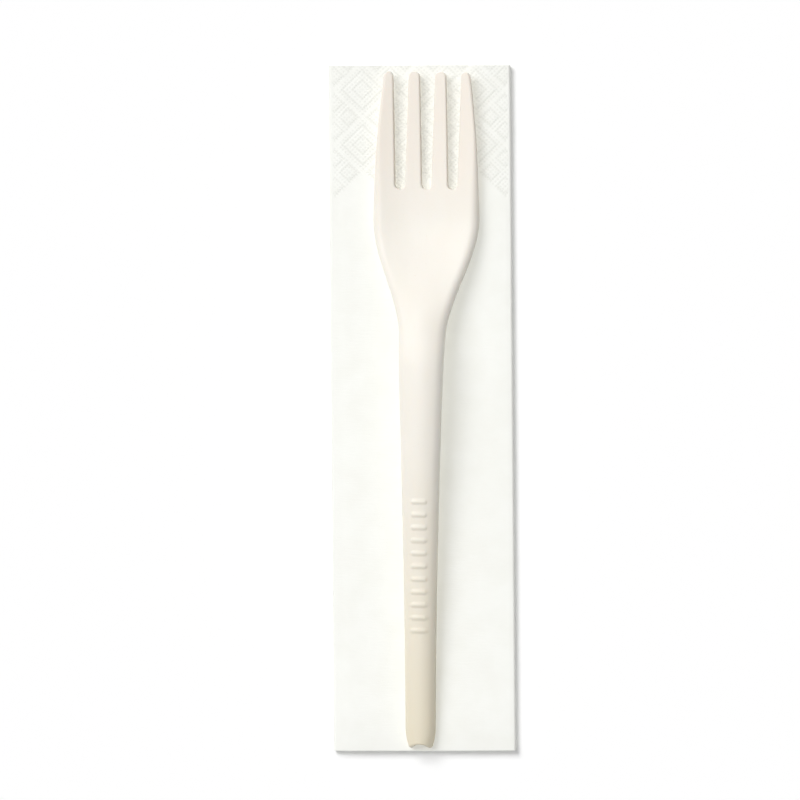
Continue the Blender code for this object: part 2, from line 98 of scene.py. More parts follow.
# How finely the sheet is meshed: coarse cells along the fold path and along a leaf, and the fine
# lines that cut them where the border is pressed.
SPLIT = 8  # fine rows or columns in one coarse cell
BOTTOM_STEP = 2  # the bottom leaf uses every second fine line
WHOLE_LEAVES = 2  # the path's first leaves, the stack's bottom and its top, are cut evenly
LEAF_CELLS = 34
INNER_LEAF_CELLS = (4, 5)  # on the slope beside the spine, and on the flat
TURN_CELLS = 7
BORDER_CELLS = 27
PLAIN_CELLS = 12
UNDER_CELLS = 16
NAPKIN_SHARP = 50  # degrees between two faces past which their edge stays sharp


def ease(value):
    """3t^2 - 2t^3 for t clipped to 0..1: a step with level ends."""
    value = np.clip(value, 0.0, 1.0)
    return value * value * (3.0 - 2.0 * value)


def folded_levels(folds):
    """Each panel's level in the stack: a fold lays the right half, reversed, on the left."""
    columns = [[panel] for panel in range(2**folds)]
    while len(columns) > 1:
        half = len(columns) // 2
        columns = [columns[i] + columns[-1 - i][::-1] for i in range(half)]
    return [columns[0].index(panel) for panel in range(2**folds)]


def leaf_height(level, x):
    """Half a leaf plus the level times the pitch, which eases to the tighter one at the spine."""
    pressed_and_shaded = ease((slope_start - x) / SPINE_SLOPE_WIDTH)
    return LEAF_THICKNESS / 2 + level * (LEAF_PITCH + (SPINE_PITCH - LEAF_PITCH) * pressed_and_shaded)


def turn_centre_x(level_a, level_b):
    """Middle of a round turn: the outline, in by half a leaf and the outermost nested radius."""
    if level_a + level_b == LEAVES - 1:
        return napkin_low.x + LEAF_THICKNESS / 2 + (LEAVES - 1) / 2 * SPINE_PITCH
    upper = max(level_a, level_b) >= LEAVES // 2
    reach = (LEAVES // 2 - 1) / 2 * LEAF_PITCH if upper else LEAF_PITCH / 2
    setback = 0.0 if upper else LOW_FOLD_SETBACK
    return napkin_high.x - setback - LEAF_THICKNESS / 2 - reach


def fine_run(stops, cells):
    """Straight runs between stops, each cut into cells * SPLIT equal steps, last point left out."""
    runs = zip(stops, stops[1:], cells)
    return np.concatenate([np.linspace(a, b, n * SPLIT, endpoint=False) for a, b, n in runs])


def fold_path():
    """The strip's middle line as (x, z, normal x, normal z): level runs joined by half circles.

    A turn is its centre plus its radius times (cosine, sine) of an angle from -90 to 90 degrees,
    and its radius is half of the height between the two leaves that it joins.
    """
    levels = folded_levels(LENGTHWISE_FOLDS)
    pieces, starts = [], []
    for k, level in enumerate(levels):
        leftward = k % 2 == 0
        spine_x = turn_centre_x(level, LEAVES - 1 - level)
        if k in (0, LEAVES - 1):
            right_x = napkin_high.x - FREE_EDGE_SETBACK
        else:
            right_x = turn_centre_x(level, levels[k - 1] if leftward else levels[k + 1])
        whole = k < WHOLE_LEAVES
        stops = [spine_x, right_x] if whole else [spine_x, slope_start, right_x]
        cells = [LEAF_CELLS] if whole else list(INNER_LEAF_CELLS)
        if leftward:
            stops, cells = stops[::-1], cells[::-1]
        x = fine_run(stops, cells)
        starts.append(sum(len(piece[0]) for piece in pieces) // SPLIT)
        side = np.full(len(x), -1.0 if leftward else 1.0)
        pieces.append((x, leaf_height(level, x), 0.0 * x, side))
        if k == LEAVES - 1:
            break
        above = levels[k + 1]
        pitch = SPINE_PITCH if leftward else LEAF_PITCH
        rising = 1.0 if above > level else -1.0
        angle = rising * math.pi * (fine_run([0.0, 1.0], [TURN_CELLS]) - 0.5)
        out = rising if leftward else -rising
        across = (-1.0 if leftward else 1.0) * np.cos(angle)
        radius = abs(above - level) / 2 * pitch
        middle = LEAF_THICKNESS / 2 + (level + above) / 2 * pitch
        x = turn_centre_x(level, above) + radius * across
        pieces.append((x, middle + radius * np.sin(angle), out * across, out * np.sin(angle)))
    last = np.array([[right_x], [leaf_height(level, right_x)], [0.0], [1.0]])
    return np.hstack([np.array(piece) for piece in pieces] + [last]), starts


def leaf_section():
    """A leaf cut along its length, as (y, offset): a closed line round its two sheets.

    It runs out along the upper face, round the cross fold as half a circle, back under the leaf,
    across the lower sheet's edge, and then the same way round the gap between the sheets.
    """
    outer, inner = LEAF_THICKNESS / 2, SHEET_GAP / 2
    top_end, under_end = napkin_high.y, napkin_high.y - OPEN_END_STEP
    fold_y = napkin_low.y + outer
    half_turn = math.pi * (0.5 + fine_run([0.0, 1.0], [TURN_CELLS]))
    inner_turn = half_turn[-1] + half_turn[0] - half_turn
    edge = (outer - inner) * fine_run([0.0, 1.0], [1])
    runs = (
        (fine_run([top_end, border_end, fold_y], [BORDER_CELLS, PLAIN_CELLS]), outer),
        (fold_y + outer * np.cos(half_turn), outer * np.sin(half_turn)),
        (fine_run([fold_y, under_end], [UNDER_CELLS]), -outer),
        (under_end, edge - outer),
        (fine_run([under_end, fold_y], [UNDER_CELLS]), -inner),
        (fold_y + inner * np.cos(inner_turn), inner * np.sin(inner_turn)),
        (fine_run([fold_y, top_end], [UNDER_CELLS]), inner),
        (top_end, inner + edge),
    )
    return np.hstack([np.array(np.broadcast_arrays(*run)) for run in runs])


def pressed_pattern(x, y):
    """(groove, swell) from 0 to 1, by d, a point's share of the way from its cell's middle out.

    With p and q measured along the lattice's diagonals, d = max(|p|, |q|), and a quartered cell
    is folded on itself into four. A groove is a bell curve of the distance from its ring, and a
    ring at d = 0 is a dot. The knurl is the product of a cosine along each diagonal, and the
    swell is a dome that falls to nothing at d = 1.
    """
    across = 2 * (x - LATTICE_CENTRE_X) / DIAMOND_WIDTH
    along = 2 * (y - napkin_high.y + LATTICE_TOP_INSET) / DIAMOND_HEIGHT
    p, q = across + along, across - along
    column, line = np.round(p / 2), np.round(q / 2)
    p, q = np.abs(p - 2 * column), np.abs(q - 2 * line)
    row = column - line
    plain = np.mod(row, 2) == 0
    side = DIAMOND_WIDTH * DIAMOND_HEIGHT / math.hypot(DIAMOND_WIDTH, DIAMOND_HEIGHT) / 2
    d_plain = np.maximum(p, q)
    d_quarter = np.maximum(np.abs(2 * p - 1), np.abs(2 * q - 1))

    def bell(d, other, ring, reach):
        """e^-(distance / half the width)^2, times a cosine of the pins' places along the groove."""
        pins = 1 - PIN_SHARE * (0.5 + 0.5 * np.cos(2 * math.pi * other * reach / PIN_PITCH))
        return pins * np.exp(-(((d - ring) * reach / (GROOVE_WIDTH / 2)) ** 2))

    along_plain, along_quarter = np.minimum(p, q), np.minimum(np.abs(2 * p - 1), np.abs(2 * q - 1))
    nested = sum(bell(d_plain, along_plain, ring, side) for ring in PLAIN_GROOVES)
    nested = nested + bell(d_plain, DOT_PLACE, 0, side / 2)
    quarter = bell(d_quarter, along_quarter, QUARTER_GROOVE, side / 2)
    quarter = quarter + bell(d_quarter, DOT_PLACE, 0, side / 2)
    knurl = [0.5 + 0.5 * np.cos(2 * math.pi * place * side / KNURL_PITCH) for place in (p, q)]
    groove = np.minimum(np.where(plain, nested, quarter), 1.0)
    groove = np.maximum(groove, KNURL_SHARE * knurl[0] * knurl[1])
    swell = np.where(plain, 1 - d_plain**2, (1 - d_quarter**2) / 2)
    printed = row >= LAST_ROW
    return np.where(printed, groove, 0.0), np.where(printed, swell, 0.0)


def grid_faces(columns, rows, zones):
    """Faces of a strip closed along its rows: coarse cells, cut finely inside the zones.

    A corner's number is its fine column times the fine rows plus its fine row. A coarse cell
    beside a zone takes the zone's fine corners into its own outline, so nothing gapes.
    """
    fine_rows = rows * SPLIT

    def corner(u, v):
        """Fine column times the fine rows, plus the fine row, which goes round."""
        return u * fine_rows + np.mod(v, fine_rows)

    def cells(u, v, step):
        """Square cells from their first corners, each step fine lines wide and high."""
        ring = ((u, v), (u + step, v), (u + step, v + step), (u, v + step))
        return np.stack([corner(*point) for point in ring], 1).tolist()

    whole = np.ones((columns, rows), bool)
    faces = []
    for first, last, start, end, step in zones:
        whole[first:last, start:end] = False
        u, v = np.mgrid[first * SPLIT : last * SPLIT : step, start * SPLIT : end * SPLIT : step]
        faces += cells(u.ravel(), v.ravel(), step)
        next_rows = ((end, 0), ((start - 1) % rows, 2))
        next_columns = ((first - 1, 1), (last, 3))
        beside = [(i, j, side) for i in range(first, last) for j, side in next_rows]
        beside += [(i, j, side) for j in range(start, end) for i, side in next_columns]
        count = SPLIT // step
        for i, j, side in beside:
            whole[i, j] = False
            u, v = i * SPLIT, j * SPLIT
            outline = [(u, v), (u + SPLIT, v), (u + SPLIT, v + SPLIT), (u, v + SPLIT)]
            ends = list(zip(outline[side], outline[(side + 1) % 4]))
            extra = [[a + (b - a) * n // count for a, b in ends] for n in range(1, count)]
            outline[side + 1 : side + 1] = extra
            faces.append([int(corner(*point)) for point in outline])
    i, j = np.nonzero(whole)
    faces += cells(i * SPLIT, j * SPLIT, SPLIT)
    around = np.arange(0, fine_rows, SPLIT)
    faces += [corner(0, around[::-1]).tolist(), corner(columns * SPLIT, around).tolist()]
    return faces


def closed_piece(name, points, faces, sharp_angle):
    """A mesh object from points and faces, faces turned outwards and real edges kept sharp."""
    mesh = bpy.data.meshes.new(name)
    mesh.from_pydata(points, [], faces)
    bm = bmesh.new()
    bm.from_mesh(mesh)
    bmesh.ops.recalc_face_normals(bm, faces=bm.faces)
    bm.to_mesh(mesh)
    bm.free()
    mesh.shade_smooth()
    mesh.set_sharp_from_angle(angle=math.radians(sharp_angle))
    piece = bpy.data.objects.new(name, mesh)
    bpy.context.scene.collection.objects.link(piece)
    return piece


path, leaf_starts = fold_path()
section_y, section_offset = leaf_section()
path_cells, section_cells = (path.shape[1] - 1) // SPLIT, len(section_y) // SPLIT
top_zone = (leaf_starts[1], leaf_starts[1] + LEAF_CELLS, 0, BORDER_CELLS, 1)
bottom_zone = (1, LEAF_CELLS, 0, BORDER_CELLS, BOTTOM_STEP)
faces = grid_faces(path_cells, section_cells, (top_zone, bottom_zone))
used = np.unique(np.concatenate([np.asarray(face) for face in faces]))
u, v = np.divmod(used, len(section_y))
x = path[0, u] + path[2, u] * section_offset[v]
z = path[1, u] + path[3, u] * section_offset[v]
y = section_y[v]

# The pattern goes into the outer faces of the top leaf and, turned over, of the bottom one.
groove, swell = pressed_pattern(x, y)
on_face = (v <= BORDER_CELLS * SPLIT) & (section_offset[v] > 0)
top_first, top_last = top_zone[0] * SPLIT, top_zone[1] * SPLIT
on_top = on_face & (u >= top_first) & (u <= top_last)
on_bottom = on_face & (u >= SPLIT) & (u <= LEAF_CELLS * SPLIT)
fold_near = np.minimum(x - path[0, top_first], path[0, top_last] - x)
strength = ease(fold_near / EMBOSS_FADE) * (on_top | on_bottom)
groove, swell = groove * strength, swell * strength
raised = SWELL * (swell - 1) * strength - GROOVE_DEPTH * groove
z = z + raised * np.where(on_top, 1.0, -BOTTOM_SHARE)

# The stack isn't quite even: it gives a little in places, its leaves' ends don't line up, and
# its two ends aren't quite square.
dip = np.sin(2 * math.pi * (y + DIP_LEAN * x) / DIP_LENGTH) * np.cos(2 * math.pi * x / DIP_LENGTH)
z = z * (1 - SOFT_DIP * (0.5 + 0.5 * dip))
panel = np.interp(u, np.array(leaf_starts) * SPLIT, np.arange(LEAVES))
skew = LEAF_SKEW * (0.5 - 0.5 * np.cos(SKEW_TURN * (panel - SKEW_LONGEST)))
y = y - skew * y / napkin_high.y * (np.abs(y) > border_end)
slant = np.where(y > 0, OPEN_END_SLANT, FOLD_END_SLANT) * ease(np.abs(y) / napkin_high.y)
y = y - slant * (x - napkin_low.x) / (napkin_high.x - napkin_low.x)
faces = [np.searchsorted(used, face).tolist() for face in faces]
points = np.stack([x, y, z], 1)
napkin = closed_piece("napkin_sheet", points.tolist(), faces, NAPKIN_SHARP)
# The grooves, and a ramp of painted shade down the spine's slope: the tissue greys with both,
# partly or wholly as painted shade, and is smoother there.
pressed_and_shaded = np.maximum(groove, SPINE_PAINTED_SHADE * ease((slope_start - x) / SPINE_SLOPE_WIDTH))
for name, values in (("pressed_and_shaded", pressed_and_shaded), ("puffed", swell)):
    attribute = napkin.data.attributes.new(name, "FLOAT", "POINT")
    attribute.data.foreach_set("value", values.astype(np.float32))

# Tissue: white, matt and a little warm, with fine crepe ridges across the sheet, stray fibres
# and slightly cloudy pulp. The pressed grooves are denser, so smoother and a shade greyer, and
# their grey is deepened further as painted shade; the spine's slope gets a little of it as painted
# shade too.
TISSUE_LIGHT = (0.925, 0.930, 0.890, 1.0)
TISSUE_CLOUD = (0.905, 0.908, 0.862, 1.0)
# The grooves' grey: denser paper, deepened as painted shade; also the spine's painted shade.
TISSUE_PRESSED_SHADE = (0.775, 0.780, 0.730, 1.0)
PRESSED_SHADE_BLEND = 0.8  # of that colour, partly painted shade, in the deepest groove
TISSUE_ROUGHNESS = (0.92, 0.78)  # loose, and pressed
TISSUE_SPECULAR = 0.25
TISSUE_SHEEN = 0.06
PULP_NOISE = ((160, 160, 160), 3.0)  # features in a metre along x, y and z; detail; roughness
PULP_RANGE = (0.35, 0.65)  # the noise's values from light to cloud
CREPE_NOISE = ((420, 2300, 2300), 4.0, 0.6)
CREPE_HEIGHT = 0.036 * MM
FIBRE_NOISE = ((5200, 3100, 4000), 2.0)
FIBRE_HEIGHT = 0.014 * MM
PUFF_HEIGHT = 0.12 * MM
PIN_HEIGHT = 0.07 * MM


class Finish:
    """A node material in the making: nodes are added by type and fed by name."""

    def __init__(self, name):
        self.material = bpy.data.materials.new(name)
        self.material.use_nodes = True
        self.tree = self.material.node_tree
        self.shader = self.tree.nodes["Principled BSDF"]
        self.place = self.add("ShaderNodeTexCoord").outputs["Object"]

    def add(self, kind, settings=(), **feeds):
        """A node; each feed is a socket to link or a value to set, under the socket's name."""
        node = self.tree.nodes.new(kind)
        for key, value in dict(settings).items():
            setattr(node, key, value)
        for key, value in feeds.items():
            self.feed(node.inputs[key.replace("_", " ")], value)
        return node

    def feed(self, socket, value):
        """Links the value to the socket if it is a socket itself, and sets it otherwise."""
        if isinstance(value, bpy.types.NodeSocket):
            self.tree.links.new(value, socket)
        else:
            socket.default_value = value

    def finished(self, **feeds):
        """The material, once the shader's own sockets are fed."""
        for key, value in feeds.items():
            self.feed(self.shader.inputs[key.replace("_", " ")], value)
        return self.material

    def attribute(self, name):
        """The mesh attribute of that name, as a number."""
        return self.add("ShaderNodeAttribute", {"attribute_name": name}).outputs["Fac"]

    def noise(self, stretch, detail, roughness=0.5):
        """Noise whose features are one over each stretch long, in metres, along x, y and z."""
        spread = self.add("ShaderNodeMapping", Vector=self.place, Scale=stretch).outputs[0]
        amounts = {"Scale": 1.0, "Detail": detail, "Roughness": roughness}
        return self.add("ShaderNodeTexNoise", Vector=spread, **amounts).outputs[0]

    def ranged(self, value, span=(0.0, 1.0), to_span=(0.0, 1.0)):
        """value carried linearly from span to to_span, and clamped at the ends."""
        ends = dict(zip(("From_Min", "From_Max", "To_Min", "To_Max"), (*span, *to_span)))
        return self.add("ShaderNodeMapRange", Value=value, **ends).outputs[0]

    def blended(self, share, first, second):
        """first + share * (second - first), in each of a colour's channels."""
        node = self.add("ShaderNodeMix", {"data_type": "RGBA"})
        for socket, value in ((0, share), (6, first), (7, second)):
            self.feed(node.inputs[socket], value)
        return node.outputs[2]

    def bumped(self, height, distance, under=None):
        """A bump of that depth in metres, over another one if given."""
        feeds = {} if under is None else {"Normal": under}
        bump = self.add("ShaderNodeBump", Height=height, Distance=distance, Strength=1.0, **feeds)
        return bump.outputs[0]


tissue = Finish("tissue")
pulp = tissue.ranged(tissue.noise(*PULP_NOISE), PULP_RANGE)
# Greyer in the grooves, partly as painted shade, and painted shade on the spine's slope.
pressed_and_shade_share = tissue.attribute("pressed_and_shaded")
colour = tissue.blended(pulp, TISSUE_LIGHT, TISSUE_CLOUD)
pressed_shade_blend = tissue.ranged(pressed_and_shade_share, to_span=(0.0, PRESSED_SHADE_BLEND))
relief = tissue.bumped(tissue.noise(*CREPE_NOISE), CREPE_HEIGHT)
relief = tissue.bumped(tissue.attribute("puffed"), PUFF_HEIGHT, relief)
relief = tissue.bumped(tissue.ranged(pressed_and_shade_share, to_span=(1.0, 0.0)), PIN_HEIGHT, relief)
tissue_material = tissue.finished(
    Base_Color=tissue.blended(pressed_shade_blend, colour, TISSUE_PRESSED_SHADE),
    Roughness=tissue.ranged(pressed_and_shade_share, to_span=TISSUE_ROUGHNESS),
    Normal=tissue.bumped(tissue.noise(*FIBRE_NOISE), FIBRE_HEIGHT, relief),
    Specular_IOR_Level=TISSUE_SPECULAR,
    Sheen_Weight=TISSUE_SHEEN,
)
napkin.data.materials.append(tissue_material)

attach(napkin, "root")
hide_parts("napkin")

# Fork: one moulding in cream plant-based plastic, an arched skin with side walls, hollow under
# the handle and solid in the four tines. It stands on the end of its handle and on its bowl.
HANDLE_LENGTH = 98.0 * MM
SHOULDER_LENGTH = 29.0 * MM
PALM_LENGTH = 7.3 * MM
TINE_LENGTH = 28.2 * MM
ARCH_SETBACK = 7.0 * MM  # the arch is highest this far short of the neck
END_WIDTH = 7.2 * MM
NECK_WIDTH = 11.0 * MM
HEAD_WIDTH = 25.6 * MM
TIP_SPAN = 20.8 * MM
HANDLE_FLARE = 1.8  # powers of the handle's widening and the tines' drawing in
TINE_SWEEP = 1.9
END_TAPER_LENGTH = 5.0 * MM
END_TAPER = 0.9 * MM
END_CORNER = 0.5 * MM
END_NOTCH = 0.85 * MM  # how far the middle of the handle's end lies in from its corners
END_NOTCH_REACH = 6.0 * MM
SLOT_PITCH = 6.43 * MM
SLOT_END_WIDTH = 2.45 * MM
SLOT_MOUTH_WIDTH = 3.8 * MM
ROOT_LENGTH = 4.0 * MM  # rows bend to the slots' round ends over this much of the palm
TIP_ROUND = 1.2 * MM
WALL = 1.3 * MM
RIM_WIDTH = 1.15 * MM
RIM_ROUND = 0.2 * MM
WALL_DRAFT = 0.55 * MM
HANDLE_SHOULDER_WIDTH = 1.6 * MM  # rounding between crown and side wall, across
HANDLE_SHOULDER_DROP = 1.0 * MM
SHOULDER_WIDTH = 2.3 * MM  # the same at the head
SHOULDER_DROP = 1.6 * MM
SHOULDER_FADE = 24.0 * MM  # past the head, over which it shrinks to the tines' own
TINE_SHOULDER_WIDTH = 0.75 * MM
TINE_SHOULDER_DROP = 0.4 * MM
EDGE_ROUND = 0.3 * MM
EDGE_SHARE = 0.62  # edge columns take at most this much of half the width
SOLID_PALM = 2.0 * MM  # from the hollow's end to the slots
HOLLOW_FADE = 8.0 * MM  # the hollow runs out over this length
FORK_OFFSET = (0.9 * MM, -0.6 * MM)
FORK_TURN = math.radians(-1.15)
FORK_SHARP = 60  # degrees, as for the napkin
NECK = HANDLE_LENGTH
ARCH = NECK - ARCH_SETBACK
HEAD = NECK + SHOULDER_LENGTH
SLOT_END = HEAD + PALM_LENGTH
SLOT_RADIUS = SLOT_END_WIDTH / 2
SLOT_START = SLOT_END + SLOT_RADIUS
TIP = SLOT_END + TINE_LENGTH
TIP_START = TIP - TIP_ROUND
HOLLOW_END = SLOT_END - SOLID_PALM
UNDERSIDE_EDGE = RIM_WIDTH + 2 * WALL_DRAFT
SLOTS = (-1, 0, 1)

# Heights along the fork as (place, height) stations: the sole is the section's lowest line, the
# crown its top at the middle, and the dish is how far the edges stand above the middle.
SOLE = (
    (0, 0),
    (ARCH / 2, 2.9 * MM),
    (ARCH, 4.8 * MM),
    ((ARCH + HEAD) / 2, 2.25 * MM),
    (HEAD, 0),
    ((HEAD + TIP) / 2, 0.3 * MM),
    (TIP, 1.0 * MM),
)
SOLE_TO_CROWN = (
    (0, 3.2 * MM),
    (ARCH / 2, 3.7 * MM),
    (ARCH, 4.3 * MM),
    (HEAD, 2.2 * MM),
    (TIP, 1.4 * MM),
)
DISH = (
    (0, -1.15 * MM),
    (NECK, -1.15 * MM),
    (HEAD, 1.1 * MM),
    (SLOT_END, 1.1 * MM),
    (TIP, 0.7 * MM),
)

# Grip: a ladder of low rounded bars along the middle of the handle, raised in the mould and of
# one piece with the fork.
GRIP_BARS = 11
GRIP_FIRST = 28.2 * MM
GRIP_PITCH = 3.1 * MM
BAR_REACH = 1.45 * MM  # half a bar's length, less its round end
BAR_RADIUS = 0.62 * MM
BAR_EDGE = 0.34 * MM
BAR_HEIGHT = 0.24 * MM

# How finely the fork is meshed. Columns run along it, and lie in spans: the left edge, then
# tines and slots by turns, and the right edge.
LAST_SPAN = 2 * len(SLOTS) + 2
WALL_COLUMNS = 3
ROUNDING_ANGLES = range(90, 0, -12)  # columns on the rounding to the side wall
SLOT_ANGLES = range(-90, 90, 15)  # columns round a slot's end
TINE_SIDE = (0.0, 0.006, 0.025, 0.06, 0.10)  # columns as shares of a tine, from one side
TINE_MIDDLE = (0.22, 0.36, 0.5, 0.64, 0.78)
FIRST_TINE_START = (0.0, 0.3, 0.6, 0.8)
LAST_TINE_END = (0.2, 0.4, 0.7)
RIM_PLACES = (0.027, 0.1, 0.2, 0.6, 1.0, 1.15, 1.25, 1.4, 1.55, 1.7, 1.95)  # mm from the side
END_ANGLES = range(0, 90, 15)  # rows on the rounding of the handle's end
NOTCH_ROWS = 12
LOW_HANDLE_ROWS = 22
GRIP_ROWS = 142
HIGH_HANDLE_ROWS = 36
HEAD_ROWS = 48
ROOT_ROWS = 14
ROOT_BUNCHING = 1.7  # a power that draws those rows towards the slots
TINE_ROWS = 60
TIP_ANGLES = range(8, 89, 8)  # rows on the rounding of the tips


def curve_through(stations, place):
    """Cubic pieces through the stations, each slope the harmonic mean of its neighbours'."""
    x, y = np.array(stations, float).T
    slope = np.diff(y) / np.diff(x)
    product = slope[:-1] * slope[1:]
    total = slope[:-1] + slope[1:]
    inner = np.where(product > 0, 2 * product / np.where(total == 0, 1, total), 0.0)
    tangent = np.concatenate([slope[:1], inner, slope[-1:]])
    i = np.clip(np.searchsorted(x, place) - 1, 0, len(x) - 2)
    span = x[i + 1] - x[i]
    t = np.clip((place - x[i]) / span, 0.0, 1.0)
    rise = y[i] + (y[i + 1] - y[i]) * ease(t)
    return rise + span * t * (1 - t) * ((1 - t) * tangent[i] - t * tangent[i + 1])


def quarter_drop(inward, width, drop):
    """drop * (1 - sqrt(1 - r^2)), r = 1 - inward / width: a quarter ellipse down to the edge."""
    reach = np.clip(1.0 - inward / width, 0.0, 1.0)
    return drop * (1.0 - np.sqrt(1.0 - reach * reach))


def half_width(s):
    """Flaring handle, plus an eased shoulder, less the power curve that sweeps the tines in."""
    width = END_WIDTH + (NECK_WIDTH - END_WIDTH) * np.clip(s / NECK, 0.0, 1.0) ** HANDLE_FLARE
    width = width + (HEAD_WIDTH - NECK_WIDTH) * ease((s - NECK) / SHOULDER_LENGTH)
    sweep = np.clip((s - HEAD) / (TIP - HEAD), 0.0, 1.0) ** TINE_SWEEP
    drawn_in = END_TAPER * np.clip(1.0 - s / END_TAPER_LENGTH, 0.0, 1.0) ** 2
    width = width - (HEAD_WIDTH - TIP_SPAN) * sweep
    return width / 2 - drawn_in - quarter_drop(s, END_CORNER, END_CORNER)


def tine_share(s):
    """0 on the handle and head, easing to 1 out along the tines."""
    return ease((s - HEAD) / SHOULDER_FADE)


def edge_width(s, full):
    """full, shrinking to the tines' own edge width, and never over a set share of half the fork."""
    width = full * (1 + tine_share(s) * (TINE_SHOULDER_WIDTH / SHOULDER_WIDTH - 1))
    return np.minimum(width, EDGE_SHARE * half_width(s))


def shoulder(s):
    """(width, drop) of the rounding to the side wall, easing from handle to head to tines."""
    head = ease((s - NECK) / SHOULDER_LENGTH)
    width = HANDLE_SHOULDER_WIDTH + (SHOULDER_WIDTH - HANDLE_SHOULDER_WIDTH) * head
    drop = HANDLE_SHOULDER_DROP + (SHOULDER_DROP - HANDLE_SHOULDER_DROP) * head
    width = width + (TINE_SHOULDER_WIDTH - SHOULDER_WIDTH) * tine_share(s)
    return width, drop + (TINE_SHOULDER_DROP - SHOULDER_DROP) * tine_share(s)


def slot_half_width(s):
    """A straight taper from the slot's round end to its mouth."""
    share = np.clip((s - SLOT_START) / (TIP - SLOT_START), 0.0, 1.0)
    return (SLOT_END_WIDTH + (SLOT_MOUTH_WIDTH - SLOT_END_WIDTH) * share) / 2


def over_slot(spans):
    """Whether a span lies over a slot: every second one between the two edges."""
    return (spans % 2 == 0) & (spans > 0) & (spans < LAST_SPAN)


def fork_marks(s, edge, spread):
    """Places across the fork that its columns lie between: edges, roundings and slot sides.

    spread moves a slot's sides apart, so that rows follow its round end at a distance.
    """
    width = half_width(s)
    inside = width - edge_width(s, edge)
    at_slots = half_width(SLOT_START) - edge_width(SLOT_START, edge)
    shrink = np.where(s < SLOT_START, inside / at_slots, 1.0)
    half = slot_half_width(s) * shrink + spread
    marks = [-width, -inside]
    for slot in SLOTS:
        marks += [slot * SLOT_PITCH * shrink - half, slot * SLOT_PITCH * shrink + half]
    return np.array([*marks, inside, width])


def grip_relief(x, s):
    """Height of the nearest bar: full within its round outline, easing to nothing past it."""
    bar = np.clip(np.round((s - GRIP_FIRST) / GRIP_PITCH), 0, GRIP_BARS - 1)
    away = np.hypot(np.maximum(np.abs(x) - BAR_REACH, 0.0), s - GRIP_FIRST - bar * GRIP_PITCH)
    return BAR_HEIGHT * (1 - ease((away - BAR_RADIUS + BAR_EDGE) / BAR_EDGE))


def fork_grid():
    """Columns as (span between two marks, share of it) and rows as distances along the axis.

    Rows before the slots are given as their distance from the slots' ends, and rows beyond them
    as their place. Roundings are cut by equal angles, as sines and cosines of them.
    """
    rounding = [1 - math.sin(math.radians(a)) for a in ROUNDING_ANGLES]
    fan = [(1 + math.sin(math.radians(a))) / 2 for a in SLOT_ANGLES]
    near = list(TINE_SIDE)
    far = [1 - share for share in near[:0:-1]]
    spans = [[0.0] * WALL_COLUMNS + rounding, [*FIRST_TINE_START, *far]]
    for slot in SLOTS:
        last = slot == SLOTS[-1]
        spans += [fan, near + ([*LAST_TINE_END] if last else [*TINE_MIDDLE, *far])]
    spans.append([0.0] + [1 - share for share in reversed(spans[0])])
    numbers = np.concatenate([[n] * len(shares) for n, shares in enumerate(spans)]).astype(int)
    grip_end = GRIP_FIRST + GRIP_BARS * GRIP_PITCH
    grip_start = GRIP_FIRST - GRIP_PITCH
    rows = [EDGE_ROUND * (1 - math.cos(math.radians(a))) for a in END_ANGLES]
    rows += list(np.geomspace(EDGE_ROUND, END_NOTCH_REACH, NOTCH_ROWS))
    for start, end, count in (
        (END_NOTCH_REACH, grip_start, LOW_HANDLE_ROWS),
        (grip_start, grip_end, GRIP_ROWS),
        (grip_end, NECK, HIGH_HANDLE_ROWS),
        (NECK, SLOT_END - ROOT_LENGTH, HEAD_ROWS),
    ):
        rows += list(np.linspace(start, end, count + 1)[1:])
    to_slots = [(1 - n / ROOT_ROWS) ** ROOT_BUNCHING for n in range(1, ROOT_ROWS + 1)]
    before = [SLOT_END - s for s in rows] + [ROOT_LENGTH * share for share in to_slots]
    beyond = list(np.linspace(SLOT_START, TIP_START, TINE_ROWS + 1)[1:])
    beyond += [TIP_START + TIP_ROUND * math.sin(math.radians(a)) for a in TIP_ANGLES]
    return numbers, np.concatenate(spans), np.array(before), np.array(beyond)


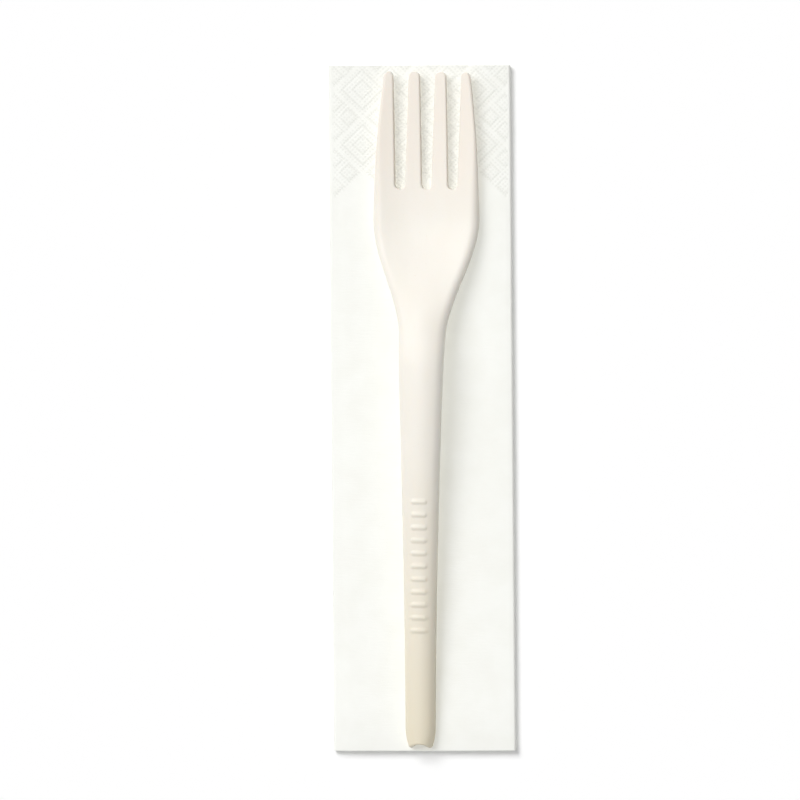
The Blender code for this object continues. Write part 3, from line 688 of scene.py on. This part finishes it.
def fork_skin(grid, underside):
    """Top or underside as points over the grid.

    Crown = sole + height + dish * (x / half width)^2, less the rounding to the side wall and the
    small radii at slots, tips and end. The underside keeps one wall below the crown inside the
    rim, and rises from the sole's line elsewhere. Rows near the slots bend round their ends,
    and each tine is drawn to its round tip as sqrt(1 - t^2).
    """
    spans, shares, before, beyond = grid
    root = 1 - ease(before / ROOT_LENGTH)
    bend = np.where(over_slot(spans), 1 - np.sqrt(1 - (2 * shares - 1) ** 2), 1.0)
    lower = SLOT_END - before[:, None] + SLOT_RADIUS * (bend * root[:, None])
    s = np.vstack([lower, np.repeat(beyond[:, None], len(spans), axis=1)])
    spread = np.concatenate([before * root, 0 * beyond])[:, None]
    marks = fork_marks(s, UNDERSIDE_EDGE if underside else SHOULDER_WIDTH, spread)
    across, along = np.arange(len(spans))[None, :], np.arange(len(s))[:, None]
    if underside:
        places = np.array(RIM_PLACES) * MM / UNDERSIDE_EDGE
        order = np.arange(len(places) + 1)
        from_right = len(spans) - 1 - across[0]
        mirrored = np.interp(from_right, order, np.append(1 - places, 0.0))
        shares = np.where(spans == 0, np.interp(across[0], order[:-1], places), shares)
        shares = np.where(spans == LAST_SPAN, mirrored, shares)
    x = marks[spans, along, across]
    x = x + shares * (marks[spans + 1, along, across] - x)
    width = marks[-1]
    inward = width - np.abs(x)
    slot_x = np.array(SLOTS)[:, None, None] * SLOT_PITCH
    from_side = np.abs(x - slot_x) - slot_half_width(s)
    from_end = np.hypot(s - SLOT_START, x - slot_x) - SLOT_RADIUS
    to_slot = np.where(s < SLOT_START, from_end, from_side).min(axis=0)
    moulded = np.maximum(np.minimum(to_slot, TIP - s), 0.0)
    moulded = quarter_drop(moulded, EDGE_ROUND, EDGE_ROUND)

    sole, dish = curve_through(SOLE, s), curve_through(DISH, s) * (x / width) ** 2
    bottom = sole + dish * ease((s - HEAD) / (SLOT_START - HEAD))
    crown = sole + curve_through(SOLE_TO_CROWN, s) + dish - quarter_drop(inward, *shoulder(s))
    if underside:
        slimmer = edge_width(s, UNDERSIDE_EDGE) / UNDERSIDE_EDGE
        hollow = np.clip((inward / slimmer - RIM_WIDTH) / WALL_DRAFT, 0.0, 1.0)
        hollow = hollow * (1 - ease((s - HOLLOW_END) / HOLLOW_FADE + 1))
        z = bottom + np.maximum(crown - WALL - bottom, 0.0) * hollow
        z = z + np.maximum(moulded, quarter_drop(inward, RIM_ROUND, RIM_ROUND))
    else:
        z = crown + grip_relief(x, s) - np.maximum(moulded, quarter_drop(s, EDGE_ROUND, EDGE_ROUND))
        rim = bottom + moulded + RIM_ROUND
        for column in range(WALL_COLUMNS):
            for side in (column, len(spans) - 1 - column):
                z[:, side] = rim[:, side] + (z[:, side] - rim[:, side]) * column / WALL_COLUMNS

    past = np.clip((s - TIP_START) / TIP_ROUND, 0.0, 1.0)
    tine = np.clip((spans + (shares > 0) - 1) // 2, 0, len(SLOTS))
    left = marks[np.where(tine == 0, 0, 2 * tine + 1), along, across]
    right = marks[np.where(tine == len(SLOTS), -1, 2 * tine + 2), along, across]
    middle = (left + right) / 2
    x = np.where(past > 0, middle + (x - middle) * np.sqrt(1 - past * past), x)
    notch = END_NOTCH * (1 - (x / width) ** 2) * np.clip(1 - s / END_NOTCH_REACH, 0.0, 1.0)
    return np.stack([x, s + notch - TIP / 2, z], axis=-1)


def skin_faces(solid):
    """Both skins over the solid cells, the underside reversed, and a wall wherever a cell ends."""
    rows, columns = solid.shape[0] + 1, solid.shape[1] + 1
    padded = np.pad(solid, 1)
    i, j = np.nonzero(solid)
    corners = [(i, j), (i, j + 1), (i + 1, j + 1), (i + 1, j)]
    top = [a * columns + b for a, b in corners]
    under = [corner + rows * columns for corner in top]
    faces = [np.stack(top, 1), np.stack(under[::-1], 1)]
    for k, (down, over) in enumerate(((-1, 0), (0, 1), (1, 0), (0, -1))):
        open_side = ~padded[i + 1 + down, j + 1 + over]
        a, b = k, (k + 1) % 4
        faces.append(np.stack([top[b], top[a], under[a], under[b]], 1)[open_side])
    return np.vstack(faces)


grid = fork_grid()
skins = np.stack([fork_skin(grid, underside=False), fork_skin(grid, underside=True)])
in_slot = over_slot(grid[0][:-1])
past_roots = np.arange(skins.shape[1] - 1) >= len(grid[2]) - 1
faces = skin_faces(~(past_roots[:, None] & in_slot[None, :]))
used, faces = np.unique(faces, return_inverse=True)
points = skins.reshape(-1, 3)[used]
points = points @ np.array(Matrix.Rotation(FORK_TURN, 3, "Z")).T
points += np.array([*FORK_OFFSET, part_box("fork")[0].z - points[:, 2].min()])
fork = closed_piece("moulded_fork", points.tolist(), faces.reshape(-1, 4).tolist(), FORK_SHARP)

# Cream plastic: satin, very slightly cloudy where the filler has flowed unevenly, with the fine
# even grain of an etched mould and light passing a little way into it at the edges.
CREAM = (0.856, 0.822, 0.754, 1.0)
CREAM_CLOUD = (0.838, 0.801, 0.726, 1.0)
CREAM_END_PAINTED_SHADE = (0.755, 0.690, 0.540, 1.0)  # painted shade: the handle's end darker and yellower
# along the kit, from the handle's end to where the painted shade gives way to the cream
END_PAINTED_SHADE_SPAN = (-80.0 * MM, -8.0 * MM)
CREAM_TINE = (0.842, 0.782, 0.700, 1.0)  # the thin tines are a little deeper too, and pinker
TINE_SHADE = (44.0 * MM, 62.0 * MM)
CREAM_SPECK = (0.780, 0.700, 0.590, 1.0)
SPECK_BLEND = 0.35
CLOUD_NOISE = ((150, 60, 150), 4.0, 0.55)
CLOUD_RANGE = (0.35, 0.68)
SPECK_NOISE = ((2100, 2100, 2100), 1.0)
SPECK_RANGE = (0.70, 0.78)
GRAIN_NOISE = ((3800, 3800, 3800), 2.0)
GRAIN_RANGE = (0.3, 0.7)
GRAIN_ROUGHNESS = (0.40, 0.52)
GRAIN_HEIGHT = 0.0035 * MM
FLOW_NOISE = ((420, 110, 420), 2.0)
FLOW_HEIGHT = 0.012 * MM
GLOW_WEIGHT = 0.12
GLOW_DEPTH = 1.2 * MM
GLOW_COLOURS = (1.0, 0.8, 0.55)  # shares of that depth for red, green and blue

cream = Finish("cream_plastic")
clouds = cream.ranged(cream.noise(*CLOUD_NOISE), CLOUD_RANGE)
specks = cream.ranged(cream.noise(*SPECK_NOISE), SPECK_RANGE, (0.0, SPECK_BLEND))
along = cream.add("ShaderNodeSeparateXYZ", Vector=cream.place).outputs["Y"]
colour = cream.blended(clouds, CREAM, CREAM_CLOUD)
# Painted shade: the colour darkens and yellows towards the handle's end.
colour = cream.blended(cream.ranged(along, END_PAINTED_SHADE_SPAN, (1.0, 0.0)), colour, CREAM_END_PAINTED_SHADE)
colour = cream.blended(cream.ranged(along, TINE_SHADE), colour, CREAM_TINE)
grain = cream.noise(*GRAIN_NOISE)
relief = cream.bumped(cream.noise(*FLOW_NOISE), FLOW_HEIGHT)
cream_material = cream.finished(
    Base_Color=cream.blended(specks, colour, CREAM_SPECK),
    Roughness=cream.ranged(grain, GRAIN_RANGE, GRAIN_ROUGHNESS),
    Normal=cream.bumped(grain, GRAIN_HEIGHT, relief),
    Subsurface_Weight=GLOW_WEIGHT,
    Subsurface_Radius=GLOW_COLOURS,
    Subsurface_Scale=GLOW_DEPTH,
)
fork.data.materials.append(cream_material)

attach(fork, "root")
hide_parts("fork")

# Table: a wide seamless white sweep of paper under the napkin, matt and without any grain.
TABLE_REACH = 8.0
TABLE_DROP = 0.03 * MM
TABLE_WHITE = (0.97, 0.97, 0.97, 1.0)
table_mesh = bpy.data.meshes.new("table")
corners = [(-TABLE_REACH, -TABLE_REACH), (TABLE_REACH, -TABLE_REACH)]
corners += [(TABLE_REACH, TABLE_REACH), (-TABLE_REACH, TABLE_REACH)]
table_mesh.from_pydata([(a, b, -TABLE_DROP) for a, b in corners], [], [(0, 1, 2, 3)])
table = bpy.data.objects.new("table", table_mesh)
bpy.context.scene.collection.objects.link(table)
white = Finish("table_white")
table.data.materials.append(
    white.finished(Base_Color=TABLE_WHITE, Roughness=1.0, Specular_IOR_Level=0.0)
)

# Light: a softbox high on the upper left, a wide sheet of light from the same side that is too
# broad to throw shadows, and a white tent that is open towards the lower right. The table has a
# harder, stronger softbox of its own, so that the napkin stands out from it.
SHEET_FROM = (-0.14, 0.12, 1.0)
SHEET_WIDTH = 34
LIT = {"kit": (napkin, fork), "table": (table,)}
LAMPS = (  # what each lights, its kind, where it stands, its strength, its width in degrees
    ("kit", "key", (-0.58, 0.56, 1.0), 1.42, 42),
    ("kit", "sheet", SHEET_FROM, 1.29, SHEET_WIDTH),
    ("table", "key", (-0.40, 0.64, 1.0), 2.27, 36),
    ("table", "sheet", SHEET_FROM, 0.57, SHEET_WIDTH),
)
WHITE = (1.0, 1.0, 1.0, 1.0)
FILL_RANGE = (0.18, 0.37)  # strength from the open side to the lit side
FILL_TOWARDS = (-0.75, 0.66, 0.0)
receivers = {}
for place, pieces in LIT.items():
    receivers[place] = bpy.data.collections.new(place + "_lit")
    for piece in pieces:
        receivers[place].objects.link(piece)
for place, kind, source, strength, width in LAMPS:
    lamp = bpy.data.lights.new(place + "_" + kind, "SUN")
    lamp.energy = strength
    lamp.angle = math.radians(width)
    lamp.use_shadow = kind == "key"
    light = bpy.data.objects.new(lamp.name, lamp)
    light.rotation_euler = Vector(source).to_track_quat("Z", "Y").to_euler()
    light.light_linking.receiver_collection = receivers[place]
    bpy.context.scene.collection.objects.link(light)

# The tent: its strength goes with the direction's dot product with FILL_TOWARDS, and the camera
# sees it plain white.
world = bpy.data.worlds.new("studio")
world.use_nodes = True
bpy.context.scene.world = world
nodes, links = world.node_tree.nodes, world.node_tree.links
fill = nodes["Background"]
fill.inputs["Color"].default_value = WHITE
facing = nodes.new("ShaderNodeVectorMath")
facing.operation = "DOT_PRODUCT"
facing.inputs[1].default_value = FILL_TOWARDS
links.new(nodes.new("ShaderNodeTexCoord").outputs["Generated"], facing.inputs[0])
graded = nodes.new("ShaderNodeMapRange")
for socket, value in zip(("From Min", "From Max", "To Min", "To Max"), (-1.0, 1.0, *FILL_RANGE)):
    graded.inputs[socket].default_value = value
links.new(facing.outputs["Value"], graded.inputs["Value"])
links.new(graded.outputs[0], fill.inputs["Strength"])
seen = nodes.new("ShaderNodeBackground")
seen.inputs["Color"].default_value = WHITE
choice = nodes.new("ShaderNodeMixShader")
links.new(nodes.new("ShaderNodeLightPath").outputs["Is Camera Ray"], choice.inputs[0])
links.new(fill.outputs[0], choice.inputs[1])
links.new(seen.outputs[0], choice.inputs[2])
links.new(choice.outputs[0], nodes["World Output"].inputs["Surface"])
bpy.context.scene.view_settings.view_transform = "Standard"

CAMERA_DISTANCE = 6.0
CAMERA_LEAN = math.radians(10)
CAMERA_ROLL = math.radians(0.48)
FRAME_WIDTH = 192.4 * MM  # what the picture takes in across, at the napkin
SENSOR_WIDTH = 36.0
NAPKIN_IN_FRAME = (5.36 * MM, -1.80 * MM)  # the napkin's middle, from the picture's middle
back = Vector((math.sin(CAMERA_LEAN), 0.0, math.cos(CAMERA_LEAN)))
up = Vector((math.sin(CAMERA_ROLL), math.cos(CAMERA_ROLL), 0.0))
right = up.cross(back).normalized()
up = back.cross(right)
aim = Vector((0.0, 0.0, napkin_high.z / 2)) - NAPKIN_IN_FRAME[0] * right - NAPKIN_IN_FRAME[1] * up
camera = bpy.data.objects.new("camera", bpy.data.cameras.new("camera"))
camera.data.sensor_width = SENSOR_WIDTH
camera.data.lens = SENSOR_WIDTH * CAMERA_DISTANCE / FRAME_WIDTH
placed = Matrix((right, up, back)).transposed().to_4x4()
placed.translation = aim + back * CAMERA_DISTANCE
camera.matrix_world = placed
bpy.context.scene.collection.objects.link(camera)
bpy.context.scene.camera = camera
